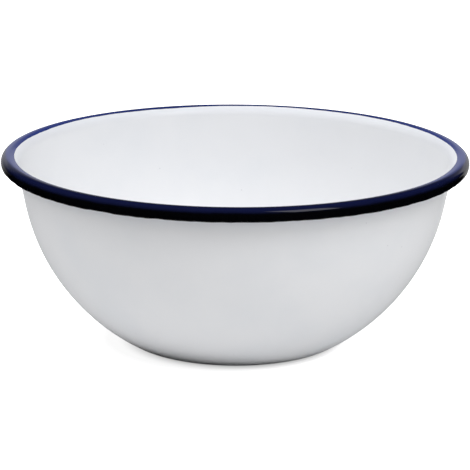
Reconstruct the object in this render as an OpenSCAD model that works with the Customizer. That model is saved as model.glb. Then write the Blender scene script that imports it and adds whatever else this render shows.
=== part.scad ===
// Enamelled basin bowl: a drawn steel sheet with a rolled rim, under fired coats of glass.
// One path follows the middle of the sheet from the bowl's axis out over the base, up the
// wall, over the lip and round the curl of the rim. Each layer is a strip beside that path,
// turned about the axis, so neighbouring layers share their faces.
// Millimetres, +Z up, origin on the axis in the plane that the bowl stands on.

/* [Bowl] */
// Diameter over the rolled rim
bowl_d = 160; // [140:1:200]
// Height from the table to the crest of the rim
bowl_h = 66; // [54:1:84]
// Lean of the upper wall from the vertical, in degrees
wall_lean = 11.25; // [5:0.25:16]
// Length of the straight upper wall under the lip
wall_straight = 13.5; // [4:0.5:24]

/* [Base] */
// Diameter of the flat of the base
base_d = 64; // [50:1:80]
// Outside radius of the corner between the base and the wall
base_corner_r = 10.5; // [5:0.5:16]
// Width of the ring that touches the table
ring_w = 5; // [3:0.5:8]
// Width of the step from that ring up to the middle of the base
step_w = 6; // [4:0.5:10]
// Height of the middle of the base over the ring
base_rise = 0.6; // [0.2:0.1:1.5]

/* [Rim] */
// Diameter of the finished bead
bead_d = 4.8; // [4:0.1:7]
// Gap left between the curled sheet and the wall or lip beside it
curl_gap = 0.4; // [0.2:0.1:1]
// Angle before the crest at which the blue of the rim starts, in degrees
blue_from = 25; // [5:1:50]

/* [Sheet and coats] */
// Thickness of the steel sheet
steel_t = 0.6; // [0.4:0.05:1]
// Thickness of the ground coat on each face of the sheet
ground_t = 0.1; // [0.05:0.01:0.2]
// Thickness of the white coat on each face
white_t = 0.2; // [0.1:0.05:0.35]
// Thickness of the blue coat on the rim
blue_t = 0.2; // [0.1:0.05:0.35]

/* [Hidden] */

// Most that a flat may stand off the curve it draws
curve_tol = 0.01;
// Flats of a whole turn about the bowl's axis
turn_flats = 180;

steel_colour = [0.56, 0.57, 0.59];
ground_colour = [0.10, 0.11, 0.14];
white_colour = [0.93, 0.94, 0.95];
blue_colour = [0.08, 0.09, 0.24];

// Distances of the layers' faces from the middle of the sheet
steel_face = steel_t / 2;
ground_face = steel_face + ground_t;
white_face = ground_face + white_t;
blue_face = ground_face + blue_t;

// Radii of the sheet's middle at the corner of the base, the curl and the lip
corner_r = base_corner_r - white_face;
curl_r = bead_d / 2 - blue_face;
lip_r = bead_d / 2 + curl_gap + white_face;

// Directions up along the straight wall and square out of it
up = [sin(wall_lean), cos(wall_lean)];
out = [cos(wall_lean), -sin(wall_lean)];

// The lip turns a right angle about its own centre, then the curl takes over about a higher one
curl_rise = lip_r - curl_r;
lip_centre = [(bowl_d - bead_d) / 2 - curl_rise * up.x, bowl_h - blue_face - lip_r];
curl_turn = 270 - asin(curl_rise / bead_d);

// The straight wall runs between these points
wall_top = lip_centre - lip_r * out;
wall_low = wall_top - wall_straight * up;

// The round wall is the one arc that meets both the base's corner and the straight wall smoothly
corner_centre = [base_d / 2, white_face + corner_r];
corner_along = (wall_low - corner_centre) * up;
corner_inset = (wall_low - corner_centre) * out;
wall_r = (corner_along * corner_along / (corner_inset - corner_r) + corner_inset + corner_r) / 2;
wall_centre = wall_low - wall_r * out;
corner_turn = atan2(corner_centre.x - wall_centre.x, wall_centre.y - corner_centre.y);

// The step in the base is an S of two equal arcs
step_r = (step_w * step_w + base_rise * base_rise) / (4 * base_rise);
step_turn = 2 * atan(base_rise / step_w);

// The sheet's path, as [length, 0] for a straight and [radius, degrees] for a bend, left positive
bowl_path = [
    [base_d / 2 - ring_w - step_w, 0],
    [step_r, -step_turn],
    [step_r, step_turn],
    [ring_w, 0],
    [corner_r, corner_turn],
    [wall_r, 90 - wall_lean - corner_turn],
    [wall_straight, 0],
    [lip_r, wall_lean + blue_from - 90]
];
crest_path = [[lip_r, -wall_lean - blue_from]];
curl_path = [[curl_r, -curl_turn]];

// Poses are [radius, height, heading]: where the path starts, and where white gives way to blue
path_start = [0, white_face + base_rise, 0];
blue_start = path_end(bowl_path, path_start);

// Flats needed to draw a step of the path
function flats(step) =
    step[1] == 0 ? 1 : ceil(abs(step[1]) / (2 * acos(1 - curve_tol / step[0])));

// Pose after the given share of a step
function go(pose, step, share = 1) =
    let (heading = pose[2] + share * step[1])
    step[1] == 0
    ? pose + share * step[0] * [cos(heading), sin(heading), 0]
    : let (radius = sign(step[1]) * step[0])
      [pose[0] + radius * (sin(heading) - sin(pose[2])),
       pose[1] - radius * (cos(heading) - cos(pose[2])),
       heading];

// Pose after the whole path
function path_end(path, pose, i = 0) =
    i == len(path) ? pose : path_end(path, go(pose, path[i]), i + 1);

// Every pose along the path
function poses(path, pose, i = 0) =
    i == len(path)
    ? [pose]
    : let (n = flats(path[i]))
      concat([for (k = [0 : n - 1]) go(pose, path[i], k / n)],
             poses(path, go(pose, path[i]), i + 1));

// Points of a face that lies off the path, outside the bowl positive
function face(line, off) =
    [for (pose = line) [pose[0] + off * sin(pose[2]), pose[1] - off * cos(pose[2])]];

function reversed(points) = [for (i = [len(points) - 1 : -1 : 0]) points[i]];

// A layer of the bowl between two faces along the path
module layer(path, start, from, to) {
    line = poses(path, start);
    rotate_extrude($fn = turn_flats)
        polygon(concat(face(line, from), reversed(face(line, to))));
}

// Drawn sheet: base, wall, flared lip and hollow curl
module steel_shell() {
    color(steel_colour)
        layer(concat(bowl_path, crest_path, curl_path), path_start, -steel_face, steel_face);
}

// Ground coat from the middle of the inside, over the crest, to the cut edge of the sheet
module ground_coat_inside() {
    color(ground_colour)
        layer(concat(bowl_path, crest_path, curl_path), path_start, -ground_face, -steel_face);
}

// Ground coat from under the base, up the wall, to the cut edge inside the curl
module ground_coat_outside() {
    color(ground_colour)
        layer(concat(bowl_path, crest_path, curl_path), path_start, steel_face, ground_face);
}

// White coat inside, up to the line where the blue starts
module white_coat_inside() {
    color(white_colour)
        layer(bowl_path, path_start, -white_face, -ground_face);
}

// White coat outside, up to the underside of the lip
module white_coat_outside() {
    color(white_colour)
        layer(concat(bowl_path, crest_path), path_start, ground_face, white_face);
}

// Blue coat over the crest and round the bead to the cut edge
module blue_rim_coat() {
    color(blue_colour)
        layer(concat(crest_path, curl_path), blue_start, -blue_face, -ground_face);
}

steel_shell();
ground_coat_inside();
ground_coat_outside();
white_coat_inside();
white_coat_outside();
blue_rim_coat();
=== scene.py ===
"""Enamel basin bowl: the fired white and navy coats of a pressed steel bowl, and its studio."""

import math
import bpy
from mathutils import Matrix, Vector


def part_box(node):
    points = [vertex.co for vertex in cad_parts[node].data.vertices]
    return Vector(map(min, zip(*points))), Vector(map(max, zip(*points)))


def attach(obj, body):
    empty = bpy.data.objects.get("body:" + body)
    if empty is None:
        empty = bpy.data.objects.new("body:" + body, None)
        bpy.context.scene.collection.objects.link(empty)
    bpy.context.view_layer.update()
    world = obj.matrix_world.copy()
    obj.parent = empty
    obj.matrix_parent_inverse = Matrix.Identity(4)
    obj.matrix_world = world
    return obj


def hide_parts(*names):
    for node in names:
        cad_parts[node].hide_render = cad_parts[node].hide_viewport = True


bl_info = {
    "name": "Enamel Basin Bowl",
    "version": (1, 0, 0),
    "blender": (4, 5, 0),
    "location": "View3D > Sidebar > Bowl",
    "description": "Builds the enamel coats of a rolled-rim basin bowl and the studio around it",
    "category": "Add Mesh",
}

import bmesh
import bpy
from mathutils import Matrix, Vector, noise

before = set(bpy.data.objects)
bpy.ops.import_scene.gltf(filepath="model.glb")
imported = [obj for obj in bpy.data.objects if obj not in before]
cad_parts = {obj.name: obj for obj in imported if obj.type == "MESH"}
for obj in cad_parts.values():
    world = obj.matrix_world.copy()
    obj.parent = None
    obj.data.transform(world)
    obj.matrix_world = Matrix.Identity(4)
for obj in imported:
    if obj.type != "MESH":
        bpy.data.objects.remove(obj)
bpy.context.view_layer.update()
RIM_LOW, RIM_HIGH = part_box("blue_rim_coat")

MM = 0.001
QUARTER_TURN = math.pi / 2
BODY = "root"
PICTURE_PIXELS = 470
SENSOR_MM = 36.0


def length(name, description, millimetres):
    """A length property whose default is given in millimetres."""
    return bpy.props.FloatProperty(
        name=name, description=description, default=millimetres * MM,
        subtype="DISTANCE", unit="LENGTH", precision=5,
    )


def angle(name, description, degrees):
    """An angle property whose default is given in degrees."""
    return bpy.props.FloatProperty(
        name=name, description=description, default=math.radians(degrees),
        subtype="ANGLE", unit="ROTATION",
    )


def colour(name, description, red, green, blue):
    """A linear colour property."""
    return bpy.props.FloatVectorProperty(
        name=name, description=description, default=(red, green, blue),
        subtype="COLOR", size=3, min=0.0, max=1.0,
    )


def number(name, description, default):
    """A plain number property."""
    return bpy.props.FloatProperty(name=name, description=description, default=default)


class BowlSizes(bpy.types.PropertyGroup):
    """Sizes of the pressed sheet and of the coats on it."""

    bowl_d: length("Diameter", "Over the rolled rim", (RIM_HIGH.x - RIM_LOW.x) / MM)
    bowl_h: length("Height", "From the table to the crest of the rim", RIM_HIGH.z / MM)
    wall_lean: angle("Wall lean", "Lean of the upper wall from the vertical", 11.25)
    wall_straight: length("Straight wall", "Length of the straight wall under the lip", 13.5)
    base_d: length("Base", "Diameter of the flat of the base", 64)
    base_corner_r: length("Base corner", "Outside radius from the base to the wall", 10.5)
    ring_w: length("Ring", "Width of the ring that touches the table", 5)
    step_w: length("Step", "Width of the step up to the middle of the base", 6)
    base_rise: length("Rise", "Height of the middle of the base over the ring", 0.6)
    bead_d: length("Bead", "Diameter of the finished bead", 4.8)
    curl_gap: length("Curl gap", "Gap between the curled sheet and the wall", 0.4)
    blue_from: angle("Paint line", "Angle before the crest where the blue starts", 25)
    steel_t: length("Sheet", "Thickness of the steel", 0.6)
    ground_t: length("Ground coat", "Thickness of the ground coat", 0.1)
    white_t: length("White coat", "Thickness of the white coat", 0.2)
    blue_t: length("Blue coat", "Thickness of the blue coat", 0.2)


class EnamelLooks(bpy.types.PropertyGroup):
    """Colours and unevenness of the fired coats, with painted light and shade on the rim and by the
    lip.
    """

    white: colour("White", "Cover coat", 0.812, 0.82, 0.838)
    white_thin: colour("Thin white", "Cover coat where it is a little thin", 0.787, 0.80, 0.823)
    # Painted shade: a bluish shade painted on the outside wall just under the bead
    bead_shaded_white: colour("Tinted white", "Cover coat tinged by the nearby blue", 0.80, 0.817, 0.862)
    # Painted shade: the upturned lip is painted darker to even out the light it catches
    lip_shaded_white: colour("Lip white", "Cover coat drawn thin over the lip", 0.735, 0.75, 0.79)
    speck: colour("Speck", "Specks fired into the cover coat", 0.66, 0.67, 0.69)
    navy: colour("Navy", "Rim coat where it is thick", 0.005, 0.007, 0.034)
    # Painted light and painted bluish reflection on the crest and inner side of the bead
    lit_navy: colour("Thin navy", "Rim coat on the crest, where it is thin", 0.027, 0.042, 0.183)
    # Painted shade: the underside of the bead painted near black
    shaded_navy: colour("Deep navy", "Rim coat that has run under the bead", 0.0010, 0.0011, 0.0018)
    ground: colour("Ground", "Ground coat", 0.012, 0.014, 0.022)
    steel: colour("Steel", "Bare sheet", 0.42, 0.43, 0.45)
    wave: length("Wave", "Height of the slow waves in the coat", 0.02)
    paint_skew: angle("Paint skew", "How much lower the blue reaches on its broad side", 2)
    paint_sag: angle("Paint sag", "How much lower the blue reaches to the left and right", 2)
    paint_wander: angle("Paint wander", "Wander of the paint line", 6)
    run_height: length("Runs", "Height of the runs under the bead", 0.12)


class StudioSetup(bpy.types.PropertyGroup):
    """Camera, lamps and floor."""

    camera_distance: length("Distance", "From the middle of the bead's circle", 960)
    camera_elevation: angle("Elevation", "Of the camera seen from the bead's circle", 13.22)
    camera_pitch: angle("Pitch", "Downward tilt of the camera", 14.775)
    camera_roll: angle("Roll", "Turn of the picture that lowers its right side", 0.32)
    camera_side: length("Side", "Of the camera, to the right of the bowl's middle", 0.1)
    focal_pixels: number("Focal length", "In pixels of the picture", 2804.0)
    key_azimuth: angle("Key azimuth", "Of the softbox, to the right of the camera", 43)
    key_elevation: angle("Key elevation", "Of the softbox over the floor", 51)
    key_width: length("Key width", "Of the softbox", 480)
    key_height: length("Key height", "Of the softbox", 600)
    key_light: number("Key light", "Radiance of the softbox", 3.8)
    lamp_distance: length("Lamp distance", "From the bowl to the softbox", 1300)
    front_light: number("Front light", "Radiance of the soft light below the softbox", 1.92)
    left_light: number("Left light", "Radiance of the soft light from the upper left", 1.9)
    right_light: number("Right light", "Radiance of the soft light from the right", 0.44)
    backdrop_top: angle("Backdrop top", "Elevation of the mirrored white backdrop's top", 14.75)
    backdrop_glow: angle("Backdrop glow", "Elevation where the glow over it has faded out", 29)
    backdrop_left: angle("Backdrop left", "Azimuth of its left edge from straight behind", 26)
    backdrop_right: angle("Backdrop right", "Azimuth of its right edge from straight behind", 33.5)
    floor_tone: number("Floor", "Reflectance of the floor", 0.74)
    floor_glow: number("Floor glow", "Light added where the floor is seen", 0.95)
    glow_from: length("Glow from", "Radius from which the camera sees the floor glow", 27)
    glow_to: length("Glow to", "Radius beyond which the camera sees it glow fully", 41)
    sheet_tone: number("Sheet", "Reflectance of the white sheet under the bowl", 0.95)
    sheet_from: length("Sheet from", "Radius where the white sheet starts to fade", 80)
    sheet_to: length("Sheet to", "Radius where the white sheet has faded out", 150)
    sheet_right: length("Sheet to the right", "How far the white sheet lies to the right", 12)
    # Painted shade: the floor's reflectance is darkened close under the bowl and a little to its
    # left
    shade_tone: number("Shade", "Share of the floor's light left close under the bowl", 0.03)
    shade_from: length("Shade from", "Radius within which the floor is in deep shade", 36)
    shade_to: length("Shade to", "Radius beyond which the floor is out of the shade", 50)
    shade_left: length("Shade to the left", "How far the shade lies to the left of the bowl", 7)


def step_end(pose, step):
    """Pose (radius, height, heading) after a straight or a bend of the sheet's path."""
    radius, height, heading = pose
    size, turn = step
    if turn == 0:
        return (radius + size * math.cos(heading), height + size * math.sin(heading), heading)
    turned = heading + turn
    bend = math.copysign(size, turn)
    return (radius + bend * (math.sin(turned) - math.sin(heading)),
            height - bend * (math.cos(turned) - math.cos(heading)), turned)


class Sheet:
    """The path of the sheet's middle, as (length, 0) straights and (radius, turn) bends."""

    def __init__(self, sizes):
        lean = sizes.wall_lean
        self.ground_face = sizes.steel_t / 2 + sizes.ground_t
        self.white_face = self.ground_face + sizes.white_t
        self.blue_face = self.ground_face + sizes.blue_t
        corner_r = sizes.base_corner_r - self.white_face
        curl_r = sizes.bead_d / 2 - self.blue_face
        lip_r = sizes.bead_d / 2 + sizes.curl_gap + self.white_face
        up = Vector((math.sin(lean), math.cos(lean)))
        out = Vector((math.cos(lean), -math.sin(lean)))
        rise = lip_r - curl_r
        bead_x = (sizes.bowl_d - sizes.bead_d) / 2
        self.lip_centre = Vector((bead_x - rise * up.x, sizes.bowl_h - self.blue_face - lip_r))
        self.bead_centre = self.lip_centre + rise * up
        self.bead_r = sizes.bead_d / 2
        wall_low = self.lip_centre - lip_r * out - sizes.wall_straight * up
        corner = Vector((sizes.base_d / 2, self.white_face + corner_r))
        along = (wall_low - corner).dot(up)
        inset = (wall_low - corner).dot(out)
        wall_r = (along * along / (inset - corner_r) + inset + corner_r) / 2
        wall_centre = wall_low - wall_r * out
        corner_turn = math.atan2(corner.x - wall_centre.x, wall_centre.y - corner.y)
        step_r = (sizes.step_w ** 2 + sizes.base_rise ** 2) / (4 * sizes.base_rise)
        step_turn = 2 * math.atan(sizes.base_rise / sizes.step_w)
        self.bowl = [
            (sizes.base_d / 2 - sizes.ring_w - sizes.step_w, 0),
            (step_r, -step_turn),
            (step_r, step_turn),
            (sizes.ring_w, 0),
            (corner_r, corner_turn),
            (wall_r, QUARTER_TURN - lean - corner_turn),
            (sizes.wall_straight, 0),
            (lip_r, lean + sizes.blue_from - QUARTER_TURN),
        ]
        self.crest = [(lip_r, -lean - sizes.blue_from)]
        self.curl = [(curl_r, math.asin(rise / sizes.bead_d) - 3 * QUARTER_TURN)]
        self.start = (0.0, self.white_face + sizes.base_rise, 0.0)
        self.blue_start = self.start
        for step in self.bowl:
            self.blue_start = step_end(self.blue_start, step)
        self.blue_from = sizes.blue_from
        self.lip_turn = QUARTER_TURN - lean


# Longest edge and widest turn of one flat in a section's shown face, how much coarser its hidden
# face is, the sectors of a whole turn with the steps in each, and how near doubles are merged
FACE_EDGE = 1.6 * MM
FACE_TURN = math.radians(7)
HIDDEN_COARSER = 2.5
SECTORS = 20
SECTOR_STEPS = 24
MERGE_WITHIN = 1e-7


def draw_face(bm, skin, path, pose, off, shown):
    """Draws the section of one face of a coat, off the sheet's middle, and returns its vertices."""
    coarser = 1.0 if shown else HIDDEN_COARSER
    place = Vector((pose[0] + off * math.sin(pose[2]), 0, pose[1] - off * math.cos(pose[2])))
    verts = bmesh.ops.create_vert(bm, co=place)["vert"]
    for step in path:
        size, turn = step
        if turn == 0:
            cuts = max(1, round(size / (FACE_EDGE * coarser)))
            ahead = Vector((math.cos(pose[2]), 0, math.sin(pose[2]))) * (size / cuts)
            for _ in range(cuts):
                made = bmesh.ops.extrude_vert_indiv(bm, verts=verts[-1:])["verts"]
                bmesh.ops.translate(bm, verts=made, vec=ahead)
                verts += made
        else:
            bend = math.copysign(size, turn)
            reach = max(size + math.copysign(off, turn), FACE_EDGE / FACE_TURN)
            turn_each = min(FACE_TURN, FACE_EDGE / reach) * coarser
            centre = (pose[0] - bend * math.sin(pose[2]), 0, pose[1] + bend * math.cos(pose[2]))
            before = len(bm.verts)
            bmesh.ops.spin(bm, geom=verts[-1:], cent=centre, axis=(0, -1, 0), angle=turn,
                           steps=max(2, math.ceil(abs(turn) / turn_each)), use_duplicate=False)
            bm.verts.ensure_lookup_table()
            verts += bm.verts[before:]
        pose = step_end(pose, step)
    for vert in verts:
        vert[skin] = 1.0 if shown else 0.0
    return verts


def turn_coat(bm, path, pose, shown_off, hidden_off):
    """Turns a closed section of a coat about the bowl's axis."""
    skin = bm.verts.layers.float.new("skin")
    shown = draw_face(bm, skin, path, pose, shown_off, True)
    hidden = draw_face(bm, skin, path, pose, hidden_off, False)
    bmesh.ops.contextual_create(bm, geom=[shown[-1], hidden[-1]])
    if pose[0] > 0:
        bmesh.ops.contextual_create(bm, geom=[shown[0], hidden[0]])
    sector = math.tau / SECTORS
    bmesh.ops.spin(bm, geom=bm.verts[:] + bm.edges[:], axis=(0, 0, 1), angle=sector,
                   steps=SECTOR_STEPS)
    bmesh.ops.spin(bm, geom=bm.verts[:] + bm.edges[:] + bm.faces[:], axis=(0, 0, 1),
                   angle=math.tau - sector, steps=SECTORS - 1, use_duplicate=True)
    bmesh.ops.remove_doubles(bm, verts=bm.verts[:], dist=MERGE_WITHIN)
    bmesh.ops.recalc_face_normals(bm, faces=bm.faces[:])
    bm.normal_update()
    return skin


def round_noise(azimuth, waves, seed):
    """Smooth noise that closes on itself round the bowl, with about that many waves."""
    reach = waves / math.tau
    return noise.noise(Vector((reach * math.cos(azimuth), reach * math.sin(azimuth), seed)))


# Azimuth at which the blue reaches lowest, and the layers of the paint line's wander, each as
# waves round the bowl, share of the wander and seed
BROAD_SIDE = math.radians(195)
PAINT_LAYERS = ((16, 1.0, 109.7), (60, 0.2, 7.7), (200, 0.2, 1.3))
# Share of the way to the paint line up to which a vertex slides, with room for rounding, and how
# far from the lip's centre it still lies on the lip: so many bead radii and some room
ON_LINE = 1.001
LIP_BEADS = 1.5
LIP_ROOM = 4 * MM


def paint_shift(looks, azimuth):
    """How far the paint line lies below its usual angle at this azimuth."""
    broad = looks.paint_skew * math.cos(azimuth - BROAD_SIDE)
    sag = looks.paint_sag * math.cos(2 * azimuth)
    wander = sum(share * round_noise(azimuth, waves, seed) for waves, share, seed in PAINT_LAYERS)
    return broad + sag + wander * looks.paint_wander


def wander_paint_line(bm, sheet, looks, from_wall):
    """Slides the coat's end along the lip, so that white and blue meet on one uneven line."""
    line = sheet.blue_from
    lip_reach = LIP_BEADS * sheet.bead_r + LIP_ROOM
    for vert in bm.verts:
        radius = math.hypot(vert.co.x, vert.co.y)
        rel = Vector((radius, vert.co.z)) - sheet.lip_centre
        before_crest = math.atan2(-rel.x, rel.y)
        if from_wall:
            share = (sheet.lip_turn - before_crest) / (sheet.lip_turn - line)
        else:
            share = before_crest / line
        if not 0 < share < ON_LINE or rel.length > lip_reach or rel.y < 0:
            continue
        azimuth = math.atan2(vert.co.y, vert.co.x)
        moved = before_crest + min(share, 1.0) * paint_shift(looks, azimuth)
        radius = sheet.lip_centre.x - rel.length * math.sin(moved)
        vert.co = (radius * math.cos(azimuth), radius * math.sin(azimuth),
                   sheet.lip_centre.y + rel.length * math.cos(moved))


# Scale of the slow waves, and the place in the noise that they are taken from
WAVES_PER_METRE = 45.0
WAVE_SHIFT = Vector((1.7, -1.7, 3.4))


def wave_skin(bm, skin, height):
    """Raises and lowers the shown face in slow waves, as fired enamel lies."""
    lifts = [(vert, vert.normal * (height * noise.noise(vert.co * WAVES_PER_METRE + WAVE_SHIFT)))
             for vert in bm.verts if vert[skin]]
    for vert, lift in lifts:
        vert.co += lift


# How far below the bead's middle the runs start and are full, in bead radii, and what they are
# made of: an even share and layers of waves round the bowl with their seeds
RUN_FROM = 0.15
RUN_FULL = 0.6
RUN_EVEN = 0.3
RUN_LAYERS = ((70, 5.3), (190, 2.9))


def gather_runs(bm, skin, sheet, height):
    """Thickens the coat under the bead in small uneven runs, as it gathers there before firing."""
    lifts = []
    for vert in bm.verts:
        below = (sheet.bead_centre.y - vert.co.z) / sheet.bead_r
        radius = math.hypot(vert.co.x, vert.co.y)
        if not vert[skin] or below < RUN_FROM or radius < sheet.bead_centre.x:
            continue
        azimuth = math.atan2(vert.co.y, vert.co.x)
        run = RUN_EVEN + sum(round_noise(azimuth, waves, seed) for waves, seed in RUN_LAYERS)
        share = min(1.0, (below - RUN_FROM) / (RUN_FULL - RUN_FROM))
        lifts.append((vert, vert.normal * (height * share * run)))
    for vert, lift in lifts:
        vert.co += lift


# Edges that turn by more than this are shaded sharp
SHARP_ANGLE = math.radians(40)


def finish_piece(bm, name, node, material):
    """Turns the bmesh into a smooth-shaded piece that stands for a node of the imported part."""
    for face in bm.faces:
        face.smooth = True
    for edge in bm.edges:
        edge.smooth = len(edge.link_faces) != 2 or edge.calc_face_angle(0.0) < SHARP_ANGLE
    mesh = bpy.data.meshes.new(name)
    bm.to_mesh(mesh)
    bm.free()
    mesh.materials.append(material)
    piece = bpy.data.objects.new(name, mesh)
    bpy.context.scene.collection.objects.link(piece)
    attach(piece, BODY)
    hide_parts(node)


class Wire:
    """An output socket that takes part in Python expressions by adding Math nodes."""

    def __init__(self, finish, socket):
        self.finish = finish
        self.socket = socket

    def _math(self, operation, first, second):
        return self.finish.node("ShaderNodeMath", {"operation": operation}, {0: first, 1: second})

    def __add__(self, other):
        return self._math("ADD", self, other)

    def __radd__(self, other):
        return self._math("ADD", other, self)

    def __sub__(self, other):
        return self._math("SUBTRACT", self, other)

    def __rsub__(self, other):
        return self._math("SUBTRACT", other, self)

    def __mul__(self, other):
        return self._math("MULTIPLY", self, other)

    def __rmul__(self, other):
        return self._math("MULTIPLY", other, self)

    def __truediv__(self, other):
        return self._math("DIVIDE", self, other)

    def __pow__(self, other):
        return self._math("POWER", self, other)


def level_length(x, y):
    """The length of a level vector whose two parts are wires."""
    return (x * x + y * y) ** 0.5


# Places of a Mix node's factor, colours and mixed colour among its sockets
MIX_FACTOR = 0
MIX_FIRST = 6
MIX_SECOND = 7
MIX_COLOUR = 2


class Finish:
    """A node tree that is built by calls which each add one node."""

    def __init__(self, owner):
        self.owner = owner
        owner.use_nodes = True
        self.tree = owner.node_tree
        self.tree.nodes.clear()

    def node(self, kind, settings=None, sockets=None, out=0):
        """Adds a node: its settings first, then the values or links of its sockets."""
        made = self.tree.nodes.new(kind)
        for name, value in (settings or {}).items():
            setattr(made, name, value)
        for name, value in (sockets or {}).items():
            if isinstance(value, Wire):
                self.tree.links.new(value.socket, made.inputs[name])
            else:
                made.inputs[name].default_value = value
        return Wire(self, made.outputs[out]) if made.outputs else None

    def also(self, wire, name):
        """Another output of the node that a wire comes from."""
        return Wire(self, wire.socket.node.outputs[name])

    def place(self):
        """Object coordinates, in metres."""
        return self.node("ShaderNodeTexCoord", out="Object")

    def parts(self, vector):
        """The X, Y and Z of a vector."""
        first = self.node("ShaderNodeSeparateXYZ", None, {0: vector})
        return [self.also(first, name) for name in "XYZ"]

    def clouds(self, vector, scale, detail):
        """Smooth noise from 0 to 1."""
        return self.node("ShaderNodeTexNoise", None, {
            "Vector": vector, "Scale": scale, "Detail": detail})

    def ramp(self, value, low, high, to_low=0.0, to_high=1.0):
        """A smooth step of a value between two limits."""
        return self.node("ShaderNodeMapRange", {"interpolation_type": "SMOOTHSTEP"}, {
            "Value": value, "From Min": low, "From Max": high,
            "To Min": to_low, "To Max": to_high})

    def blend(self, share, first, second):
        """A colour between two, each a linear colour or a wire."""
        ends = [end if isinstance(end, Wire) else (*end, 1.0) for end in (first, second)]
        return self.node("ShaderNodeMix", {"data_type": "RGBA"}, {
            MIX_FACTOR: share, MIX_FIRST: ends[0], MIX_SECOND: ends[1]}, out=MIX_COLOUR)

    def bump(self, height, distance):
        """A bumped normal from a height."""
        return self.node("ShaderNodeBump", None, {
            "Height": height, "Distance": distance, "Strength": 1.0})

    def surface(self, sockets):
        """Ends the tree in one Principled surface."""
        shader = self.node("ShaderNodeBsdfPrincipled", None, sockets)
        self.node("ShaderNodeOutputMaterial", None, {"Surface": shader})
        return self.owner


# Scales of the patterns in the enamel, and how deep its fine ripple is
WHITE_CLOUDS = 38.0
WHITE_RIPPLE = 420.0
NAVY_CLOUDS = 160.0
NAVY_RIPPLE = 600.0
GROUND_MOTTLE = 900.0
RIPPLE_DEPTH = 0.02 * MM
# Limits of the clouds between which the white goes from thick to thin
THICK_CLOUD = 0.42
THIN_CLOUD = 0.72
# Cells that may hold a speck, the speck's edge and full middle in them, and which cells have one
SPECK_CELLS = 400.0
SPECK_EDGE = 0.12
SPECK_MIDDLE = 0.05
SPECK_CHANCE = (0.95, 0.955)
# Heights over the lip's centre between which the white takes its painted shade by the rim
# Band of the painted shade on the lip, inside
LIP_SHADE_BAND = (0.0, 3.4 * MM)
# Band of the painted bluish shade under the bead, outside
BEAD_SHADE_BAND = (-6.0 * MM, -1.0 * MM)


def white_enamel(name, looks, sheet, rim_shade_tone, rim_shade_band):
    """Opaque white enamel: faint clouds, fine ripple, a few specks and a painted shade by the rim.
    """
    finish = Finish(bpy.data.materials.new(name))
    place = finish.place()
    clouds = finish.clouds(place, WHITE_CLOUDS, detail=3.0)
    tone = finish.ramp(clouds, THICK_CLOUD, THIN_CLOUD)
    ripple = finish.clouds(place, WHITE_RIPPLE, detail=1.0)
    base = finish.blend(tone, looks.white, looks.white_thin)
    _, _, z = finish.parts(place)
    low, high = (sheet.lip_centre.y + height for height in rim_shade_band)
    # Painted shade by the rim: darker on the lip inside, bluish under the bead outside
    base = finish.blend(finish.ramp(z, low, high), base, rim_shade_tone)
    cells = finish.node("ShaderNodeTexVoronoi", None, {"Vector": place, "Scale": SPECK_CELLS})
    chance, _, _ = finish.parts(finish.also(cells, "Color"))
    specks = finish.ramp(cells, SPECK_EDGE, SPECK_MIDDLE) * finish.ramp(chance, *SPECK_CHANCE)
    base = finish.blend(specks, base, looks.speck)
    return finish.surface({
        "Base Color": base,
        "Roughness": 0.3 + 0.1 * clouds,
        "Specular IOR Level": 0.0,
        "Coat Weight": 0.3,
        "Coat Roughness": 0.12,
        "Normal": finish.bump(ripple, RIPPLE_DEPTH),
    })


# The navy is painted lighter with its height on the bead, in bead radii: painted light and painted
# bluish reflection on the crest. To that height are added its place inwards, its place towards one
# azimuth and the clouds, each with its own pull. It goes from dark to light between the crest's
# limits, and to near black between those of its underside, which is painted shade. Far towards that
# azimuth, only a share of the lightening is left.
LIGHTER_SIDE = math.radians(85)
INWARD_PULL = 0.7
SIDE_PULL = 1.2
CLOUD_PULL = 0.2
CREST_LIMITS = (0.3, 1.0)
SIDE_LIMITS = (0.3, 1.0)
SIDE_SHARE = 0.55
UNDER_LIMITS = (0.9, 0.35)


def blue_enamel(looks, sheet):
    """Navy enamel: painted light and bluish reflection on the crest, painted shade under the bead.
    """
    finish = Finish(bpy.data.materials.new("fired_navy"))
    place = finish.place()
    x, y, z = finish.parts(place)
    height = (z - sheet.bead_centre.y) / sheet.bead_r
    inward = (sheet.bead_centre.x - level_length(x, y)) / sheet.bead_r
    side = (x * math.cos(LIGHTER_SIDE) + y * math.sin(LIGHTER_SIDE)) / sheet.bead_centre.x
    uneven = height + CLOUD_PULL * finish.clouds(place, NAVY_CLOUDS, detail=3.0)
    # Mask of the painted light on the crest, stronger inwards and towards one azimuth
    crest = finish.ramp(uneven + INWARD_PULL * inward + SIDE_PULL * side, *CREST_LIMITS)
    crest = crest * finish.ramp(side, *SIDE_LIMITS, 1.0, SIDE_SHARE)
    # Mask of the painted shade under the bead
    under = finish.ramp(uneven, *UNDER_LIMITS)
    ripple = finish.clouds(place, NAVY_RIPPLE, detail=1.0)
    # Painted light and bluish reflection on the crest, then painted shade under the bead
    base = finish.blend(crest, looks.navy, looks.lit_navy)
    base = finish.blend(under, base, looks.shaded_navy)
    return finish.surface({
        "Base Color": base,
        "Roughness": 0.5,
        "Specular IOR Level": 0.0,
        "Coat Weight": 0.45,
        "Coat Roughness": 0.08,
        "Normal": finish.bump(ripple, RIPPLE_DEPTH),
    })


# How many times lighter the mottling of the ground coat gets
GROUND_LIGHTER = 2.5


def ground_enamel(looks):
    """Dark ground coat with fine mottling."""
    finish = Finish(bpy.data.materials.new("fired_ground"))
    mottle = finish.clouds(finish.place(), GROUND_MOTTLE, detail=3.0)
    light = [GROUND_LIGHTER * part for part in looks.ground]
    return finish.surface({
        "Base Color": finish.blend(mottle, looks.ground, light),
        "Roughness": 0.25 + 0.2 * mottle,
    })


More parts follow.
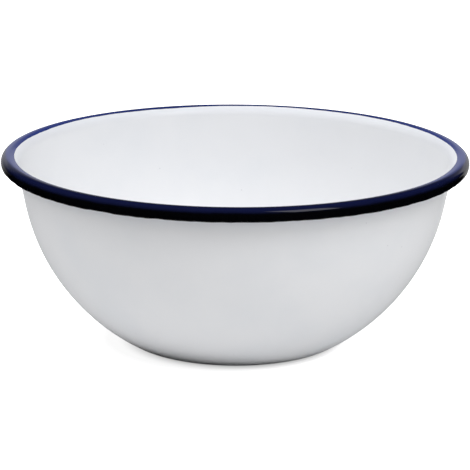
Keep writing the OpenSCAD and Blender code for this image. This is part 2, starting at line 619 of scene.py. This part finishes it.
# Scale of the draw lines' noise, its steps round the bowl and up the wall, and the share of the
# steel's colour that is left where it is dull
DRAW_LINES = 60.0
LINES_ROUND = 3.0
LINES_UP = 12.0
STEEL_DULL = 0.7


def drawn_steel(looks):
    """Bare drawn sheet with faint draw lines up the wall."""
    finish = Finish(bpy.data.materials.new("drawn_steel"))
    x, y, z = finish.parts(finish.place())
    turn = finish.node("ShaderNodeMath", {"operation": "ARCTAN2"}, {0: y, 1: x})
    along = finish.node("ShaderNodeCombineXYZ", None, {0: turn * LINES_ROUND, 1: z * LINES_UP})
    lines = finish.clouds(along, DRAW_LINES, detail=2.0)
    dull = [STEEL_DULL * part for part in looks.steel]
    return finish.surface({
        "Base Color": finish.blend(lines, dull, looks.steel),
        "Roughness": 0.35 + 0.2 * lines,
        "Metallic": 1.0,
    })


class BOWL_OT_white_coats(bpy.types.Operator):
    """Turns the white coats inside and outside the bowl"""

    bl_idname = "bowl.white_coats"
    bl_label = "White coats"

    def execute(self, context):
        scene = context.scene
        looks = scene.bowl_looks
        sheet = Sheet(scene.bowl_sizes)

        bm = bmesh.new()
        skin = turn_coat(bm, sheet.bowl, sheet.start, -sheet.white_face, -sheet.ground_face)
        wander_paint_line(bm, sheet, looks, True)
        wave_skin(bm, skin, looks.wave)
        material = white_enamel("fired_white_inside", looks, sheet, looks.lip_shaded_white, LIP_SHADE_BAND)
        finish_piece(bm, "white_inside", "white_coat_inside", material)

        bm = bmesh.new()
        turn_coat(bm, sheet.bowl + sheet.crest, sheet.start, sheet.white_face, sheet.ground_face)
        material = white_enamel("fired_white_outside", looks, sheet, looks.bead_shaded_white, BEAD_SHADE_BAND)
        finish_piece(bm, "white_outside", "white_coat_outside", material)
        return {"FINISHED"}


class BOWL_OT_blue_rim(bpy.types.Operator):
    """Turns the navy coat on the rolled rim"""

    bl_idname = "bowl.blue_rim"
    bl_label = "Blue rim"

    def execute(self, context):
        scene = context.scene
        looks = scene.bowl_looks
        sheet = Sheet(scene.bowl_sizes)
        bm = bmesh.new()
        path = sheet.crest + sheet.curl
        skin = turn_coat(bm, path, sheet.blue_start, -sheet.blue_face, -sheet.ground_face)
        wander_paint_line(bm, sheet, looks, False)
        gather_runs(bm, skin, sheet, looks.run_height)
        finish_piece(bm, "blue_rim", "blue_rim_coat", blue_enamel(looks, sheet))
        return {"FINISHED"}


class BOWL_OT_hidden_layers(bpy.types.Operator):
    """Gives the steel sheet and the ground coats their finish"""

    bl_idname = "bowl.hidden_layers"
    bl_label = "Hidden layers"

    def execute(self, context):
        looks = context.scene.bowl_looks
        ground = ground_enamel(looks)
        finishes = {
            "steel_shell": drawn_steel(looks),
            "ground_coat_inside": ground,
            "ground_coat_outside": ground,
        }
        for node, material in finishes.items():
            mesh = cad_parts[node].data
            mesh.materials.clear()
            mesh.materials.append(material)
        return {"FINISHED"}


FLOOR_SPAN = 6.0
# Azimuth to the right of the camera, elevation and spread of each soft light, in degrees
FRONT_SIDE = (43, 40, 37)
LEFT_SIDE = (-90, 55, 60)
RIGHT_SIDE = (90, 30, 60)
# How softly the mirrored backdrop ends at its edges, and how much of it is the glow over its top
TOP_FADE = 0.03
LEFT_FADE = 0.2
RIGHT_FADE = 0.03
BACK_FADE = 0.3
GLOW_SHARE = 0.55
# Squeeze of the floor across the view, which widens the part of it that the gloss sees as white
FLOOR_SQUEEZE = 0.7


class BOWL_OT_studio(bpy.types.Operator):
    """Makes the floor, the soft light and the camera"""

    bl_idname = "bowl.studio"
    bl_label = "Studio"

    def execute(self, context):
        scene = context.scene
        studio = scene.bowl_studio
        self.make_floor(scene, studio)
        self.make_light(scene, studio)
        self.make_lamp(scene, studio)
        self.make_camera(scene, studio, Sheet(scene.bowl_sizes))
        scene.view_settings.view_transform = "Standard"
        return {"FINISHED"}

    def rays(self, finish):
        """1 on rays from the camera, and 1 on those that glossy or clear surfaces send on."""
        camera = finish.node("ShaderNodeLightPath", out="Is Camera Ray")
        glossy = finish.also(camera, "Is Glossy Ray")
        clear = finish.also(camera, "Is Transmission Ray")
        mirrored = finish.node("ShaderNodeMath", {"operation": "MAXIMUM"}, {0: glossy, 1: clear})
        return camera, mirrored * (1 - camera)

    def behind(self, finish, studio, x, y):
        """1 where a level direction points at the white backdrop behind the bowl."""
        left = -math.sin(studio.backdrop_left)
        right = math.sin(studio.backdrop_right)
        return (finish.ramp(x, left - LEFT_FADE, left + LEFT_FADE)
                * finish.ramp(x, right + RIGHT_FADE, right - RIGHT_FADE)
                * finish.ramp(y, 0.0, BACK_FADE))

    def make_floor(self, scene, studio):
        """A pale floor that the camera and the gloss see as white, but for the bowl's shade."""
        bm = bmesh.new()
        bmesh.ops.create_grid(bm, x_segments=1, y_segments=1, size=FLOOR_SPAN / 2)
        mesh = bpy.data.meshes.new("floor")
        bm.to_mesh(mesh)
        bm.free()
        finish = Finish(bpy.data.materials.new("pale_floor"))
        x, y, _ = finish.parts(finish.place())
        camera, mirrored = self.rays(finish)
        # Painted shade: the floor's reflectance is darker close under the bowl and a little to its
        # left
        from_shade = level_length(x + studio.shade_left, y)
        shade = finish.ramp(from_shade, studio.shade_from, studio.shade_to, studio.shade_tone, 1.0)
        from_sheet = level_length(x - studio.sheet_right, y)
        tone = finish.ramp(from_sheet, studio.sheet_from, studio.sheet_to,
                           studio.sheet_tone, studio.floor_tone)
        matt = finish.node("ShaderNodeBsdfDiffuse", None, {"Color": tone * shade * (1 - mirrored)})
        across = x * FLOOR_SQUEEZE
        away = level_length(across, y)
        behind = self.behind(finish, studio, across / away, y / away)
        seen = finish.ramp(level_length(x, y), studio.glow_from, studio.glow_to)
        shown = camera * seen + mirrored * shade * behind
        glow = finish.node("ShaderNodeEmission", None, {"Color": shown * studio.floor_glow})
        both = finish.node("ShaderNodeAddShader", None, {0: matt, 1: glow})
        finish.node("ShaderNodeOutputMaterial", None, {"Surface": both})
        mesh.materials.append(finish.owner)
        floor = bpy.data.objects.new("floor", mesh)
        scene.collection.objects.link(floor)

    def soft_side(self, finish, direction, side):
        """Soft light that is full towards one side and fades out within its spread."""
        azimuth, elevation, spread = (math.radians(degrees) for degrees in side)
        level = math.cos(elevation)
        towards = (level * math.sin(azimuth), -level * math.cos(azimuth), math.sin(elevation))
        near = finish.node("ShaderNodeVectorMath", {"operation": "DOT_PRODUCT"},
                           {0: direction, 1: towards}, out="Value")
        return finish.ramp(near, math.cos(spread), 1.0)

    def make_light(self, scene, studio):
        """The world: white to the camera, a backdrop to the gloss and soft light to the rest."""
        scene.world = bpy.data.worlds.new("studio_light")
        finish = Finish(scene.world)
        direction = finish.node("ShaderNodeTexCoord", out="Generated")
        x, y, z = finish.parts(direction)
        soft = (studio.front_light * self.soft_side(finish, direction, FRONT_SIDE)
                + studio.left_light * self.soft_side(finish, direction, LEFT_SIDE)
                + studio.right_light * self.soft_side(finish, direction, RIGHT_SIDE))
        top = math.sin(studio.backdrop_top)
        paper = finish.ramp(z, top + TOP_FADE, top - TOP_FADE)
        glow = finish.ramp(z, math.sin(studio.backdrop_glow), top - TOP_FADE)
        backdrop = self.behind(finish, studio, x, y) * (
            (1 - GLOW_SHARE) * paper + GLOW_SHARE * glow)
        camera, mirrored = self.rays(finish)
        light = camera + mirrored * backdrop + (1 - camera - mirrored) * soft
        finish.node("ShaderNodeOutputWorld", None, {
            "Surface": finish.node("ShaderNodeBackground", None, {"Color": light})})

    def make_lamp(self, scene, studio):
        """The softbox that draws the highlight on the bead."""
        data = bpy.data.lights.new("key", "AREA")
        data.shape = "RECTANGLE"
        data.size = studio.key_width
        data.size_y = studio.key_height
        data.energy = math.pi * studio.key_light * studio.key_width * studio.key_height
        lamp = bpy.data.objects.new("key", data)
        swing = Matrix.Rotation(studio.key_azimuth, 4, "Z")
        rise = Matrix.Rotation(QUARTER_TURN - studio.key_elevation, 4, "X")
        lamp.matrix_world = swing @ rise @ Matrix.Translation((0, 0, studio.lamp_distance))
        scene.collection.objects.link(lamp)

    def make_camera(self, scene, studio, sheet):
        """A camera at the photograph's angle and distance."""
        data = bpy.data.cameras.new("camera")
        data.sensor_width = SENSOR_MM
        data.lens = SENSOR_MM * studio.focal_pixels / PICTURE_PIXELS
        camera = bpy.data.objects.new("camera", data)
        rise, reach = studio.camera_elevation, studio.camera_distance
        place = Vector((studio.camera_side, -reach * math.cos(rise),
                        sheet.bead_centre.y + reach * math.sin(rise)))
        tilt = Matrix.Rotation(QUARTER_TURN - studio.camera_pitch, 4, "X")
        roll = Matrix.Rotation(studio.camera_roll, 4, "Z")
        camera.matrix_world = Matrix.Translation(place) @ tilt @ roll
        scene.collection.objects.link(camera)
        scene.camera = camera


PIECES = (BOWL_OT_hidden_layers, BOWL_OT_white_coats, BOWL_OT_blue_rim, BOWL_OT_studio)
GROUPS = {"bowl_sizes": BowlSizes, "bowl_looks": EnamelLooks, "bowl_studio": StudioSetup}


class BOWL_PT_panel(bpy.types.Panel):
    """Lists the bowl's steps and sizes"""

    bl_idname = "BOWL_PT_panel"
    bl_label = "Enamel bowl"
    bl_space_type = "VIEW_3D"
    bl_region_type = "UI"
    bl_category = "Bowl"

    def draw(self, context):
        for piece in PIECES:
            self.layout.operator(piece.bl_idname)
        for name, group in GROUPS.items():
            for field in group.__annotations__:
                self.layout.prop(getattr(context.scene, name), field)


def register():
    for kind in (*GROUPS.values(), *PIECES, BOWL_PT_panel):
        bpy.utils.register_class(kind)
    for name, group in GROUPS.items():
        setattr(bpy.types.Scene, name, bpy.props.PointerProperty(type=group))


def unregister():
    for name in GROUPS:
        delattr(bpy.types.Scene, name)
    for kind in reversed((*GROUPS.values(), *PIECES, BOWL_PT_panel)):
        bpy.utils.unregister_class(kind)


def main():
    register()
    bpy.ops.bowl.hidden_layers()
    bpy.ops.bowl.white_coats()
    bpy.ops.bowl.blue_rim()
    bpy.ops.bowl.studio()


if __name__ == "__main__":
    main()
